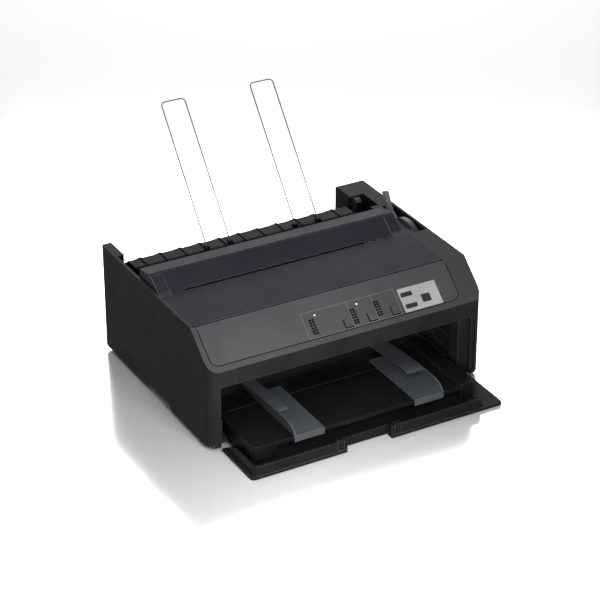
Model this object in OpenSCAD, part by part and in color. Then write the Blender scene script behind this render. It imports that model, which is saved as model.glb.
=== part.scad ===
// Narrow-carriage dot matrix printer: case, hinged covers, print mechanism, paper feed and front tray.
// Drawn with X to the right, Y to the rear from the front face and Z up from the table.

/* [Case] */
// Width of the case
case_w = 414; // [396:1:440]
// Depth of the case from the front face to the rear wall
case_d = 320; // [316:1:345]
// Height of the top deck above the table
case_h = 162; // [160:0.5:170]
// Height where the front face meets the sloping panel
front_h = 118.5; // [114:0.5:122]
// Depth of the sloping panel seen from above
slope_d = 50.4; // [46:0.2:52]
// Wall thickness of the case mouldings
wall = 3; // [2.4:0.1:3.4]
// Radius of the upright front corners
corner_r = 15; // [8:1:17]
// Width of the deck to the right of the printer cover
deck_w = 33; // [32:0.5:40]
// Width of the rim to the left of the printer cover
rim_w = 4; // [4:0.5:5]
// Gap between the case and the table, which the feet fill
foot_h = 6; // [5.8:0.1:6.4]
// Diameter of a foot
foot_dia = 18; // [12:1:22]

/* [Front opening] */
// Width of the upright strip left of the opening
strip_w = 15.5; // [15:0.5:20]
// Width of the upright jamb right of the opening
jamb_w = 35.5; // [33:0.5:40]
// Height of the top edge of the opening above the table
mouth_h = 95; // [94.5:0.5:98]

/* [Front cover] */
// Reach of the open front cover in front of the case
cover_reach = 82; // [78:0.5:82]
// Thickness of the front cover
cover_t = 4; // [3:0.1:4.2]
// Height of the lip along the edge of the front cover
lip_h = 18.3; // [12:0.1:18.5]
// Width of the finger notch in the front cover
notch_w = 67; // [40:1:80]
// Depth of the finger notch in the front cover
notch_d = 13; // [8:0.5:14]
// Radius of the pins of the hinged covers
pin_r = 2; // [1.5:0.1:2.2]

/* [Front tray] */
// Width of the front sheet tray
tray_w = 338; // [320:1:340]
// Length of the front sheet tray
tray_len = 134; // [120:1:136]
// Height of the tray top above the table
tray_h = 36; // [33:0.5:38]
// Reach of the tray in front of the case
tray_reach = 64; // [60:0.5:64]
// Width of the base of an edge guide
guide_w = 44; // [38:1:48]
// Height of an edge guide above the tray
guide_h = 14; // [10:0.5:16]
// Length of an edge guide
guide_len = 150; // [140:1:152]

/* [Top covers] */
// Thickness of the smoke covers
smoke_t = 2.5; // [2:0.1:2.6]
// Distance from the front face to the rear edge of the printer cover
slot_y = 144.5; // [144:0.1:145]
// Width of the paper slot behind the printer cover
slot_gap = 6; // [5:0.1:7]
// Height of the ridge of the sheet guide cover above the deck
ridge_rise = 17; // [12:0.5:18]
// Distance from the front face to the ridge
ridge_y = 178; // [174:0.5:180]

/* [Control panel] */
// Distance from the left case side to the panel insert
panel_left = 7.5; // [7:0.1:9]
// Width of the silver label plate
label_w = 58.5; // [56:0.5:62]
// Height of the silver label plate along the slope
label_h = 34; // [32:0.5:36]
// Travel of a button
button_travel = 0.8; // [0.4:0.1:1]

/* [Mechanism] */
// Depth of the platen axis below the top deck
platen_drop = 34; // [33:0.5:36]
// Distance from the front face to the platen axis
platen_y = 168; // [168:0.5:169]
// Radius of the platen roller
platen_r = 16; // [15:0.5:16.5]
// Radius of the carriage shaft
rail_r = 6; // [5:0.25:6]
// Module of the paper feed gears
gear_m = 1; // [0.9:0.05:1]
// Radius of the release lever disc
disc_r = 39.6; // [38:0.2:40]
// Length of the wire paper supports
wire_len = 210; // [150:5:240]
// Width of a wire paper support
wire_w = 36; // [30:1:38]
// Radius of the support wire
wire_r = 0.8; // [0.6:0.05:1]

/* [Hidden] */

$fn = 48;
fit = 0.06;              // radial clearance of a running fit
gap = 0.3;               // clearance between pieces on different bodies
seam = 0.5;              // visible seam between covers and case
case_l = -case_w / 2;    // left side of the case
case_r = case_w / 2;     // right side of the case
slope_a = atan2(case_h - front_h, slope_d);
slope_len = norm([case_h - front_h, slope_d]);

// places that several pieces share
platen_z = case_h - platen_drop;    // platen axis above the table
cover_r = case_r - deck_w;          // right edge of the printer cover bay
cover_l = case_l + rim_w;           // left edge of the printer cover bay
strip_x = cover_r - 2;              // right edge of the sheet guide cover bay
rear_l = case_l + 14;               // inner face of the rear left corner
rear_r = case_r - 44;               // inner face of the rear right block
rear_y = case_d - 44;               // front face of the rear left corner
block_y = case_d - 41;              // front face of the rear right block
step_y = platen_y + 66;             // where the top opening widens behind the lever
mouth_l = case_l + strip_w;
mouth_r = case_r - jamb_w;
door_l = mouth_l + 0.8;
door_r = mouth_r + 17;
door_z = 1.2;                       // underside of the open front cover
hinge_z = 4.2;                      // hinge axis of the front cover
hinge_y = hinge_z - door_z + 0.2;
panel_t = 2.2;                      // thickness of the front cover inside its rim
floor_z = foot_h + wall;            // top of the lower case floor
mouth_mid = (mouth_l + mouth_r) / 2;
tray_l = mouth_mid - tray_w / 2;
tray_r = mouth_mid + tray_w / 2;
tray_t = 3;
tray_z = 13.5;                      // underside of the tray's side walls
runner_y = tray_len - tray_reach + 180; // rear end of the tray's runners
frame_t = 1.6;                      // thickness of the steel side frames
frame_l = case_l + 10;
frame_r = case_r - 40;              // outer face of the right side frame
board_l = frame_l + 32;             // main board and the posts it stands on
board_r = frame_r - 62;
post_x = [board_l + 15, (board_l + board_r) / 2 + 10, board_r - 15];
post_y = [case_d - 108, case_d - 24];
shaft_r = 4;
bush_r = 8;
exit_y = platen_y - platen_r;       // front tangent of the platen
rod_y = exit_y - 34;                // carriage shaft axis
rod_z = platen_z - 28;
belt_y = rod_y - 28;
belt_z = rod_z - 22;
pulley_r = 8;
belt_t = 1.2;
belt_w = 6;
pulley_l = frame_l + 24;
pulley_right = frame_r - 24;
tractor_y = case_d - 70;
tractor_z = platen_z - 36;
rod2_y = tractor_y + 34;
flap_y = case_d - 4;                // rear end of the paper guide
teeth_platen = 45;
teeth_idler = 50;
teeth_tractor = 40;
teeth_pinion = 12;
gear_x = frame_r + 3;
gear_w = 6;
cover_pin = [137.5, case_h - 3];      // hinge axis of the printer cover, Y and Z
guide_pin = [203, case_h - 4];      // hinge axis of the sheet guide cover
wire_pin = [247, case_h - 4.2];     // pivot of the wire supports
wire_lean = 38.6;                   // lean of the wire supports to the rear
wire_left_x = -64;
wire_right_x = 74;
hump_z = case_h - 5;                // top of the paper guide
rib_pitch = (case_w - 75) / 11.34;  // spacing of the ribs of the rear paper guide
sprocket_r = 9;

// where the idler gear meshes with the platen gear and the tractor gear
span = norm([tractor_y - platen_y, tractor_z - platen_z]);
reach_a = gear_m * (teeth_platen + teeth_idler) / 2;
reach_b = gear_m * (teeth_tractor + teeth_idler) / 2;
along = (span * span + reach_a * reach_a - reach_b * reach_b) / (2 * span);
aside = sqrt(max(0, reach_a * reach_a - along * along));
unit = [tractor_y - platen_y, tractor_z - platen_z] / span;
idler_c = [platen_y, platen_z] + along * unit + aside * [unit[1], -unit[0]];
pinion_c = idler_c - [0, gear_m * (teeth_idler + teeth_pinion) / 2];
motor_r = 18;

// extent of the whole object, for its origin
far_y = max(case_d, wire_pin[0] + (wire_len - 0) * sin(wire_lean) + wire_r);
knob_out = 10;
origin = [-knob_out / 2, (cover_reach - far_y) / 2, 0];

// ---- helpers ----
module at_origin() translate(origin) children();
module block(x0, x1, y0, y1, z0, z1) translate([x0, y0, z0]) cube([x1 - x0, y1 - y0, z1 - z0]);
module x_prism(x0, x1) translate([x0, 0, 0]) rotate([90, 0, 90]) linear_extrude(x1 - x0) children();
module y_prism(y0, y1) translate([0, y1, 0]) rotate([90, 0, 0]) linear_extrude(y1 - y0) children();
module x_rod(x0, x1, y, z, r) translate([x0, y, z]) rotate([0, 90, 0]) cylinder(h = x1 - x0, r = r);
module y_rod(y0, y1, x, z, r) translate([x, y0, z]) rotate([-90, 0, 0]) cylinder(h = y1 - y0, r = r);
module z_rod(z0, z1, x, y, r) translate([x, y, z0]) cylinder(h = z1 - z0, r = r);
module on_slope() translate([0, 0, front_h]) rotate([slope_a, 0, 0]) children();

// points of an arc round c from angle a to angle b
function arc(c, r, a, b, n = 6) = [for (i = [0:n]) c + r * [cos(a + (b - a) * i / n), sin(a + (b - a) * i / n)]];
// rectangle with a radius at each corner: front left, front right, rear right, rear left
function rounded(x0, x1, y0, y1, r) = concat(
    arc([x0 + r[0], y0 + r[0]], r[0], 180, 270), arc([x1 - r[1], y0 + r[1]], r[1], 270, 360),
    arc([x1 - r[2], y1 - r[2]], r[2], 0, 90), arc([x0 + r[3], y1 - r[3]], r[3], 90, 180));
// unit normal of a path at point i, and a strip of thickness t under the path
function heading(p, i) = let (d = p[min(i + 1, len(p) - 1)] - p[max(i - 1, 0)]) d / norm(d);
function below(p, t) = [for (i = [0:len(p) - 1]) let (d = heading(p, i)) p[i] + t * [d[1], -d[0]]];
function reversed(p) = [for (i = [len(p) - 1:-1:0]) p[i]];
function strip(p, t) = concat(p, reversed(below(p, t)));

// side outline of the case, drawn in Y and Z, moved in by d
function case_side(d) = let (s = d * tan(slope_a / 2), q = d * tan((90 - slope_a) / 2)) concat(
    [[d, foot_h + d], [d, front_h - q]],
    [[slope_d + s, case_h - d]],
    arc([case_d - 4 - d, case_h - 4 - d], 4, 90, 0, 4),
    arc([case_d - 9 - d, foot_h + 9 + d], 9, 0, -90, 4));

// ---- gears ----
function involute(rb, r) = let (q = acos(min(1, rb / r))) tan(q) * 180 / PI - q;
function half_tooth(n, m, r) = let (rp = m * n / 2, rb = rp * cos(20))
    90 / n - 0.08 / rp * 180 / PI + involute(rb, rp) - involute(rb, max(r, rb));
module gear_outline(n, m, phase) {
    rp = m * n / 2;
    radii = [rp - 1.2 * m, max(rp * cos(20), rp - 1.1 * m), rp - 0.3 * m, rp + 0.35 * m, rp + 0.9 * m];
    polygon([for (k = [0:n - 1]) each concat(
        [for (i = [0:4]) let (a = phase + 360 * k / n - half_tooth(n, m, radii[i])) radii[i] * [cos(a), sin(a)]],
        [for (i = [4:-1:0]) let (a = phase + 360 * k / n + half_tooth(n, m, radii[i])) radii[i] * [cos(a), sin(a)]])]);
}
// phase that puts gear b, with nb teeth, in mesh with gear a at phase pa, for centres ca and cb
function mesh_phase(pa, na, ca, nb, cb) = let (t = atan2(cb[1] - ca[1], cb[0] - ca[0]))
    t + 180 + 180 / nb + na / nb * (t - pa);
idler_phase = mesh_phase(0, teeth_platen, [platen_y, platen_z], teeth_idler, idler_c);
tractor_phase = mesh_phase(idler_phase, teeth_idler, idler_c, teeth_tractor, [tractor_y, tractor_z]);
pinion_phase = mesh_phase(idler_phase, teeth_idler, idler_c, teeth_pinion, pinion_c);

// ---- case ----
// outline of the opening in the top deck, seen from above
module top_opening() polygon([[cover_l, slope_d], [cover_r, slope_d], [cover_r, slot_y - 2],
    [strip_x, slot_y - 2], [strip_x, step_y], [strip_x + 13, step_y], [strip_x + 13, block_y],
    [rear_r, block_y], [rear_r, case_d + 1], [rear_l, case_d + 1], [rear_l, rear_y], [cover_l, rear_y]]);

module case_block(d) intersection() {
    x_prism(case_l + d, case_r - d) polygon(case_side(d));
    linear_extrude(case_h) polygon(rounded(case_l + d, case_r - d, d, case_d - d,
        [corner_r - d, corner_r - d, 6, 6]));
}

slot_x0 = strip_x + 12.5;            // lever slot, left edge
slot_x1 = case_r - 3.5;
slot_y0 = platen_y - 28;
slot_y1 = platen_y + 62;
cup_x = case_r - 8;                  // floor of the knob recess
knob_r = 16;
boss_r = 9;

module panel_outline(d) polygon(rounded(case_l + panel_left + d, cover_r + 1 - d, 8 + d, slope_len + 6,
    [12 - d, 12 - d, 1, 1]));

module upper_case() color("#1f2021") difference() {
    union() {
        difference() {
            case_block(0);
            case_block(wall);
            translate([0, 0, front_h - 30]) linear_extrude(case_h) top_opening();
            // the rear wall is open between the corners
            block(rear_l, rear_r, case_d - 20, case_d + 1, 0, case_h + 1);
            // the floor is the lower case
            block(case_l + wall, case_r - wall, wall, case_d + 1, 0, foot_h + wall + 1);
        }
        // walls round the opening in the deck
        intersection() {
            case_block(0.01);
            union() {
                block(cover_r, cover_r + wall, slope_d - 8, slot_y - 0.5, case_h - 42, case_h);
                block(strip_x, strip_x + wall, slot_y - 2, step_y + wall, platen_z + 25, case_h);
                block(strip_x, strip_x + 13 + wall, step_y, step_y + wall, case_h - 42, case_h);
                block(strip_x + 13, strip_x + 13 + wall, step_y, block_y + wall, case_h - 42, case_h);
                // rounded tab on the block's front wall
                x_prism(strip_x - 5, strip_x + 4) polygon(concat([[block_y + 1, platen_z - 4],
                    [block_y + 1, case_h - 2]], arc([block_y - 5, case_h - 8], 6, 90, 180), [[block_y - 11, platen_z - 4]]));
                block(cover_l - 0.5, rear_l, rear_y, rear_y + wall, platen_z - 12, case_h);
                block(rear_l - wall, rear_l, rear_y, case_d, platen_z - 12, case_h);
                difference() {
                    linear_extrude(case_h) polygon(rounded(rear_r, case_r - 1, block_y, case_d, [8, 1, 1, 1]));
                    translate([0, 0, -1]) linear_extrude(case_h) polygon(rounded(rear_r + wall, case_r,
                        block_y + wall, case_d - wall, [5, 1, 1, 1]));
                    block(rear_r - 1, case_r, 0, case_d + 1, -1, platen_z - 12);
                }
                // return walls of the front opening
                block(mouth_l - wall, mouth_l, 1, 26, foot_h + 6, mouth_h);
                block(mouth_r, mouth_r + wall, 7, 26, foot_h + 6, mouth_h);
                block(mouth_l - wall, mouth_r + wall, 1, 26, mouth_h, mouth_h + wall);
                // recessed jamb and its groove
                block(mouth_r, case_r - 1, cover_t + 0.6, cover_t + 0.6 + wall, foot_h, mouth_h + wall);
            }
        }
        // ledge behind the panel insert
        intersection() {
            case_block(0.01);
            on_slope() difference() {
                translate([0, 0, -6]) linear_extrude(6) intersection() {
                    panel_outline(-4);
                    translate([case_l, 0]) square([case_w, slope_len - 6]);
                }
                translate([0, 0, -7]) linear_extrude(9) panel_outline(4);
            }
        }
        // cup for the knob with the boss that carries the release lever
        difference() {
            union() {
                x_rod(cup_x, case_r - 1, platen_y, platen_z, knob_r + 3.3);
                x_rod(strip_x + 12, cup_x + 1, platen_y, platen_z, boss_r);
            }
            x_rod(cup_x + 2, case_r + 1, platen_y, platen_z, knob_r + 1.3);
            x_rod(strip_x, case_r, platen_y, platen_z, shaft_r + 0.5);
        }
    }
    // knob opening in the side wall
    x_rod(cup_x + 2, case_r + 1, platen_y, platen_z, knob_r + 1.3);
    // panel insert
    on_slope() translate([0, 0, -smoke_t]) linear_extrude(20) panel_outline(0);
    on_slope() translate([0, 0, -6.1]) linear_extrude(6) panel_outline(4);
    // front opening, with a rounded upper left corner, and the recess of the jamb
    y_prism(-1, 27) polygon(concat(
        [[mouth_r, foot_h - 1], [mouth_r, mouth_h]], arc([mouth_l + 6, mouth_h - 6], 6, 90, 180),
        [[mouth_l, foot_h - 1]]));
    block(mouth_l, door_r + seam, -1, cover_t + 0.6, 0, mouth_h);
    block(door_r + 5, door_r + 9, -1, 12, foot_h + 5, mouth_h - 5);
    // lever slot
    block(slot_x0, slot_x1, slot_y0, slot_y1, case_h - 6, case_h + 1);
    // hinge bores of the covers
    x_rod(cover_l - 3.4, cover_l + 1, cover_pin[0], cover_pin[1], pin_r + fit);
    x_rod(cover_r - 1, cover_r + wall + 1, cover_pin[0], cover_pin[1], pin_r + fit);
    x_rod(cover_l - 3.4, cover_l + 1, guide_pin[0], guide_pin[1], pin_r + fit);
    x_rod(strip_x - 1, strip_x + wall + 1, guide_pin[0], guide_pin[1], pin_r + fit);
    // hand recesses in the lower edges of the sides
    x_prism(case_l - 1, case_r + 1) polygon([[113, 0], [121, foot_h + 6.5], [182, foot_h + 6.5], [196, 0]]);
}

module lower_case() color("#202122") difference() {
    union() {
        block(case_l + wall + gap, case_r - wall - gap, 12, case_d - wall - gap, foot_h, floor_z);
        block(case_l + 20, case_r - 20, hinge_y + 7, 12.5, foot_h, floor_z);
        // upright rim inside the upper case
        for (x = [case_l + wall + gap, case_r - wall - gap - 2]) block(x, x + 2, 17, case_d - 12, foot_h, 26);
        // raised bays over the hand recesses
        for (x = [case_l + wall + gap, case_r - wall - gap - 20])
            block(x, x + 20, 109, 200, foot_h, foot_h + 10);
        // runners under and beside the tray
        for (x = [tray_l - 5 - gap, tray_r + gap]) block(x, x + 5, 20, runner_y, floor_z - 0.5, tray_h - 4);
        for (x = [tray_l - 0.5, tray_r - 4.5]) block(x, x + 5, 12, runner_y, floor_z - 0.5, tray_z - gap);
        // lugs of the front cover hinge
        for (x = [-150, 130]) for (s = [-8.4, 12.4]) hinge_lug(x + s);
        // posts under the main board and seats of the side frames
        for (x = post_x, y = post_y) z_rod(floor_z - 0.5, floor_z + 9, x, y, 4);
        for (x = [frame_l, frame_r - frame_t]) block(x - 3, x + frame_t + 3, 202, 300, floor_z - 0.5, floor_z + 2);
    }
    x_prism(case_l - 1, case_l + wall + gap + 17) polygon(grip_cut());
    x_prism(case_r - wall - gap - 17, case_r + 1) polygon(grip_cut());
    for (x = [-150, 130]) x_rod(x - 9, x + 17, hinge_y, hinge_z, pin_r - 0.5 + 0.01);
    // vents under the board
    for (i = [-7:7]) block(i * 14 - 4, i * 14, case_d - 96, case_d - 40, foot_h - 1, floor_z + 1);
}
function grip_cut() = [[113, 0], [121, foot_h + 6.5], [182, foot_h + 6.5], [196, 0]];
module hinge_lug(x) x_prism(x, x + 4) polygon(concat([[12.5, foot_h], [12.5, floor_z], [hinge_y + 4, floor_z]],
    arc([hinge_y, hinge_z], 3.6, 75, 300, 12)));

foot_places = [for (x = [-case_w / 2 + 28, case_w / 2 - 28], y = [32, case_d - 30]) [x, y]];
module feet() color("#161616") for (p = foot_places) difference() {
    translate([p[0], p[1], 0]) cylinder(h = foot_h, r = foot_dia / 2);
    translate([p[0], p[1], -0.5]) cylinder(h = 1.5, r = foot_dia / 5);
}

module rear_cover() color("#1f2021") difference() {
    union() {
        block(rear_l + 0.2, rear_r - 0.2, case_d - wall, case_d, foot_h, flap_top - 17);
        block(rear_l + 0.2, rear_r - 0.2, case_d - 16, case_d, flap_top - 20, flap_top - 17);
        for (x = [rear_l + 0.2, rear_r - 3.2]) block(x, x + 3, case_d - 16, case_d, floor_z + gap, flap_top - 17);
    }
    // openings for the sockets and the switch
    block(inlet_x - 14, inlet_x + 14, case_d - 5, case_d + 1, 28, 50);
    block(switch_x - 7.2, switch_x + 7.2, case_d - 5, case_d + 1, 28, 50);
    block(wide_x - 28, wide_x + 28, case_d - 5, case_d + 1, 28, 44);
    block(small_x - 7, small_x + 7, case_d - 5, case_d + 1, 28, 41);
    for (i = [0:15]) block(-150 + i * 9, -146 + i * 9, case_d - 5, case_d + 1, 60, 84);
}
flap_top = platen_z - 10;
inlet_x = 120;
switch_x = 84;
switch_y = case_d - 8;
wide_x = -80;
small_x = -20;

// ---- control panel ----
button_s = 17.8;
panel_buttons = [5, 41, 77];
label_x = 89.5;
label_s = 9.7;
module panel_holes(g) {
    for (x = panel_buttons) translate([x, button_s]) square([11 + g, 11 + g], center = true);
    translate([label_x + 11.2, label_s + 24.8]) square([16.5 + g, 5.5 + g], center = true);
    translate([label_x + 12.2, label_s + 7.9]) square([16.5 + g, 5.5 + g], center = true);
    translate([label_x + 37.3, label_s + 13.5]) square([12.4 + g, 10.5 + g], center = true);
}
light_places = concat([[-37, 39.9], [26.2, 39.6]],
    [for (x = [-48, -43], i = [0:3]) [x, 18 + i * 5]],
    [for (x = [13.6, 18.6], i = [0:3]) [x, 17 + i * 5]],
    [for (x = [50.5, 55.5], i = [0:3]) [x, 19 + i * 5]]);
light_d = 2.2;

module control_panel() color("#4a4b4c") {
    difference() {
        on_slope() difference() {
            translate([0, 0, -smoke_t]) linear_extrude(smoke_t) difference() {
                panel_outline(seam);
                translate([case_l, slope_len]) square([case_w, 20]);
                panel_holes(0.7);
                for (p = light_places) translate(p) circle(d = light_d, $fn = 16);
            }
            translate([label_x, label_s, -0.6]) cube([label_w, label_h, 2]);
        }
    }
    // step that the front edge of the printer cover lies on
    block(cover_l + 5, cover_r - 3.5, slope_d - 2, slope_d + 9, case_h - 6.5, case_h - 4.3);
    block(cover_l + 0.7, cover_r - 0.7, slope_d + 0.5, slope_d + 9, case_h - 6.5, case_h - 4.3);
    block(cover_l + 5, cover_r - 3.5, slope_d - 1, slope_d + 3.1, case_h - 5, case_h - 1.6);
    // skirt that hangs from the step
    block(cover_l + 0.7, cover_r - 0.7, slope_d + 7, slope_d + 9, case_h - 16, case_h - 6);
    // guides that carry the button stems
    on_slope() difference() {
        translate([-10, 12.6, -smoke_t - 7]) cube([label_x + 65, 27.4, 2]);
        translate([0, 0, -smoke_t - 9]) linear_extrude(8) stem_holes(0.6);
    }
    on_slope() for (x = [-10, 21, 60, label_x - 4, label_x + 22, label_x + 52.5])
        translate([x, 12.6, -smoke_t - 6]) cube([2, 27.4, 6.2]);
}
module stem_holes(g) {
    for (x = panel_buttons) translate([x, button_s]) square([5 + g, 5 + g], center = true);
    translate([label_x + 11.2, label_s + 24.8]) square([7 + g, 3.4 + g], center = true);
    translate([label_x + 12.2, label_s + 7.9]) square([7 + g, 3.4 + g], center = true);
    translate([label_x + 37.3, label_s + 13.5]) square([5 + g, 5 + g], center = true);
}
module panel_label() color("#b5b7b8") on_slope() translate([0, 0, -0.6]) linear_extrude(0.6) difference() {
    polygon(rounded(label_x, label_x + label_w, label_s, label_s + label_h, [1, 1, 1, 1]));
    panel_holes(0.7);
}
module status_lights() color("#d8e6d0") on_slope() for (p = light_places)
    translate([p[0], p[1], -smoke_t]) cylinder(h = smoke_t, d = light_d - 0.1, $fn = 16);

// cap and stem of a button, centred on (x, s) of the slope
module button(x, s, w, h, stem_w, stem_h) on_slope() translate([x, s, 0]) {
    translate([0, 0, -2.6]) linear_extrude(3.6) polygon(rounded(-w / 2, w / 2, -h / 2, h / 2, [1, 1, 1, 1]));
    translate([-stem_w / 2, -stem_h / 2, -smoke_t - 9]) cube([stem_w, stem_h, smoke_t + 9 - 2]);
}
module left_panel_button() color("#4a4b4c") button(panel_buttons[0], button_s, 11, 11, 5, 5);
module middle_panel_button() color("#4a4b4c") button(panel_buttons[1], button_s, 11, 11, 5, 5);
module right_panel_button() color("#4a4b4c") button(panel_buttons[2], button_s, 11, 11, 5, 5);
module upper_label_button() color("#2c2d2e") button(label_x + 11.2, label_s + 24.8, 16.5, 5.5, 7, 3.4);
module lower_label_button() color("#2c2d2e") button(label_x + 12.2, label_s + 7.9, 16.5, 5.5, 7, 3.4);
module square_label_button() color("#2c2d2e") button(label_x + 37.3, label_s + 13.5, 12.4, 10.5, 5, 5);

// ---- smoke covers ----
slot_l = cover_l + 35;               // ends of the recess that forms the paper slot
slot_r = cover_r - 48;
module printer_cover() color([0.25, 0.24, 0.27, 0.9]) difference() {
    union() {
        linear_extrude(case_h - 0.3) polygon(rounded(cover_l + seam, cover_r - seam, slope_d + 3.6,
            slot_y + 3.6, [3, 3, 1, 1]));
        x_rod(cover_l - wall, cover_l + 3, cover_pin[0], cover_pin[1], pin_r);
        x_rod(cover_r - 3, cover_r + wall - gap, cover_pin[0], cover_pin[1], pin_r);
    }
    // hollow underneath, with a skirt round the edge
    block(cover_l + seam + 3, cover_r - seam - 3, slope_d + 6, slot_y - 3, 0, case_h - 0.3 - smoke_t);
    block(cover_l - 1, cover_r + 1, slope_d, cover_pin[0] - 5, 0, case_h - 4);
    block(cover_l + seam + 3, cover_r - seam - 3, 0, slot_y + 10, 0, case_h - 4);
    block(cover_l - 1, cover_r + 1, 0, slot_y + 10, 0, cover_pin[1] - 3.4);
    block(cover_l - 1, cover_r + 1, cover_pin[0] + 3.4, slot_y + 10, 0, case_h - 4);
    // recess of the paper slot and steps for the arms of the sheet guide cover
    block(slot_l, slot_r, slot_y, slot_y + 10, 0, case_h + 1);
    for (x = [cover_l - 1, strip_x - 18]) block(x, x + 20, slot_y - 3.4, slot_y + 10, 0, case_h + 1);
}

// front face, ridge and top of the sheet guide cover, from front to rear
wedge_y = slot_y + slot_gap;
wedge_top = [[wedge_y, case_h - 1], [ridge_y - 2, case_h + ridge_rise - 1],
    [ridge_y + 2, case_h + ridge_rise], [206, case_h + ridge_rise - 4]];
module sheet_guide_cover() color([0.24, 0.23, 0.26, 0.9]) {
    arm_w = 17;
    x_prism(cover_l + seam + 2, strip_x - seam - 2) polygon(strip(wedge_top, smoke_t));
    // end arms, each a hollow cheek with its pin
    for (x = [cover_l + seam, strip_x - seam - 2.2]) x_prism(x, x + 2.2) polygon(cheek());
    for (x = [cover_l + seam + 1, strip_x - seam - arm_w]) x_prism(x, x + arm_w - 1)
        polygon(strip([[slot_y - 2.2, case_h - 0.6], [wedge_y + 2, case_h + 0.6], [ridge_y - 4, case_h + ridge_rise - 1.5]], 2));
    x_rod(cover_l - wall, cover_l + 2, guide_pin[0], guide_pin[1], pin_r);
    x_rod(strip_x - 2, strip_x + wall - gap, guide_pin[0], guide_pin[1], pin_r);
}
function cheek() = concat([[slot_y - 2.2, case_h - 0.6], [wedge_y + 1, case_h], [ridge_y - 2, case_h + ridge_rise - 1],
    [ridge_y + 2, case_h + ridge_rise], [206, case_h + ridge_rise - 4]],
    arc(guide_pin, 3.6, 40, -90, 8), [[ridge_y, case_h - 4.6], [slot_y - 2.2, case_h - 2.8]]);

// ---- rear paper guide and wire supports ----
guide_path = concat([[214, platen_z - 2]], arc([244, hump_z - 10], 10, 140, 92, 5),
    arc([262, hump_z - 8], 8, 88, 42, 5), [[case_d - 14, platen_z + 2], [case_d - 3, platen_z - 7]]);
guide_l = rear_l + 1;
guide_r = rear_r - 16;
function rib_x(i) = guide_l + 18 + i * rib_pitch;
module rear_paper_guide() color("#19191a") difference() {
    union() {
        x_prism(guide_l, guide_r) polygon(strip(guide_path, 2.4));
        for (i = [0:10]) if (rib_x(i) < guide_r - 4) x_prism(rib_x(i) - 0.8, rib_x(i) + 0.8) polygon(strip(below(guide_path, -1.4), 3));
        for (x = [guide_l, guide_r - 2.4]) x_prism(x, x + 2.4) polygon(concat(below(guide_path, 1),
            [[case_d - 6, platen_z - 12], [214, platen_z - 12]]));
        for (c = [wire_left_x, wire_right_x], s = [-1, 1]) wire_socket(c + s * wire_w / 2, s);
        // feet that stand on the rear cover and the side frames
        for (x = [guide_l, guide_r - 20]) block(x, x + 20, case_d - 16, case_d - 5, flap_top - 17, platen_z - 4);
    }
    for (c = [wire_left_x, wire_right_x], s = [-1, 1])
        x_rod(c + s * wire_w / 2 - 6, c + s * wire_w / 2 + 6, wire_pin[0], wire_pin[1], wire_r + fit);
    for (c = [wire_left_x, wire_right_x], s = [-1, 1]) let (x = c + s * wire_w / 2)
        block(x - wire_r - 0.4, x + wire_r + 0.4, wire_pin[0] - 6, wire_pin[0] + 7, wire_pin[1] - 1.6, case_h + 9);
}
module wire_socket(x, s) block(x - 3.4, x + 3.4, wire_pin[0] - 3.4, wire_pin[0] + 3.4, hump_z - 8, wire_pin[1] + 2);

// one U-shaped wire, with its feet turned outwards along its pivot axis
module wire_support(cx) color("#c9cbcc") {
    h = wire_w / 2;
    bend = 6;
    translate([cx, wire_pin[0], wire_pin[1]]) rotate([-wire_lean, 0, 0]) {
        for (s = [-1, 1]) {
            translate([s * h, 0, 0]) cylinder(h = wire_len - bend, r = wire_r, $fn = 16);
            translate([s * h, 0, 0]) sphere(r = wire_r, $fn = 16);
            translate([s * h, 0, 0]) rotate([0, s * 90, 0]) cylinder(h = 3, r = wire_r, $fn = 16);
            translate([s * (h - bend), 0, wire_len - bend]) rotate([90, 0, 0]) rotate([0, 0, s > 0 ? 0 : 90])
                rotate_extrude(angle = 90, $fn = 32) translate([bend, 0]) circle(r = wire_r, $fn = 16);
        }
        translate([-h + bend, 0, wire_len]) rotate([0, 90, 0]) cylinder(h = wire_w - 2 * bend, r = wire_r, $fn = 16);
    }
}
module left_wire_support() wire_support(wire_left_x);
module right_wire_support() wire_support(wire_right_x);

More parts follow.
